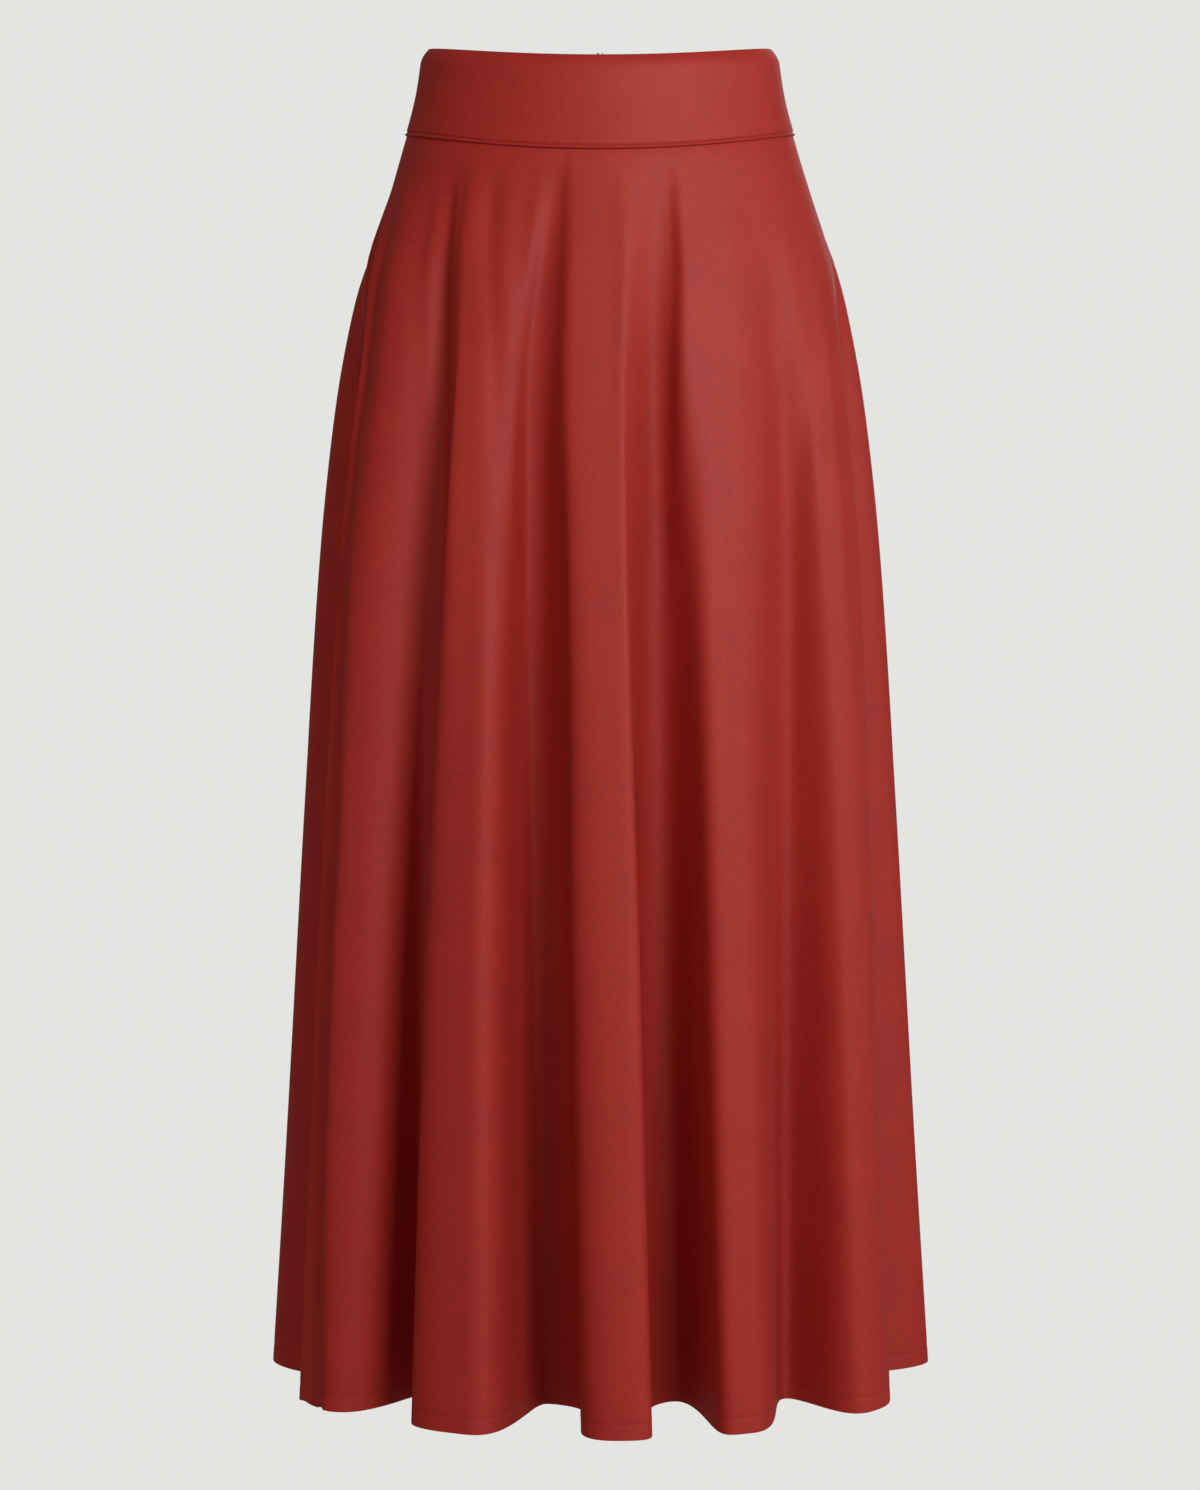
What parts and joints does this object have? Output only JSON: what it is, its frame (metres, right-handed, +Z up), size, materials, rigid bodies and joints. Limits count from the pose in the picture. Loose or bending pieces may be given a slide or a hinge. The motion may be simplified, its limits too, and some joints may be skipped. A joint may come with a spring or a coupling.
{
  "type": "maxi skirt",
  "caption": "Floor-length flared skirt on a wide shaped waistband, worn shape with deep soft flutes, in-seam pocket and concealed back zip.",
  "frame": {"origin": "centre of the waist opening, level with the band's top edge at the side seams, where the wearer's waist holds the skirt", "axes": "+Z up towards the waist; the front of the skirt faces -Y; the wearer's right side is at -X"},
  "size_m": [0.4962, 0.4071, 0.9895],
  "materials": {
    "cloth": "matte fine crepe weave",
    "pocketing": "matte plain weave",
    "zip_tape": "matte tape",
    "zip_metal": "satin enamel"
  },
  "bodies": {
    "skirt": {"waistband_front": "cloth", "waistband_back_left": "cloth", "waistband_back_right": "cloth", "skirt_front": "cloth", "skirt_back_left": "cloth", "skirt_back_right": "cloth", "pocket_bag": "pocketing", "zip_tape_left": "zip_tape", "zip_tape_right": "zip_tape", "zip_slider": "zip_metal"},
    "zip_pull_tab": {"zip_pull": "zip_metal"}
  },
  "joints": [
    {"name": "zip_pull_hinge", "type": "hinge", "parent": "skirt", "child": "zip_pull_tab", "pos_m": [0, 0.09683, -0.00965], "axis": [1, 0, 0], "range_deg": [0, 165]}
  ]
}
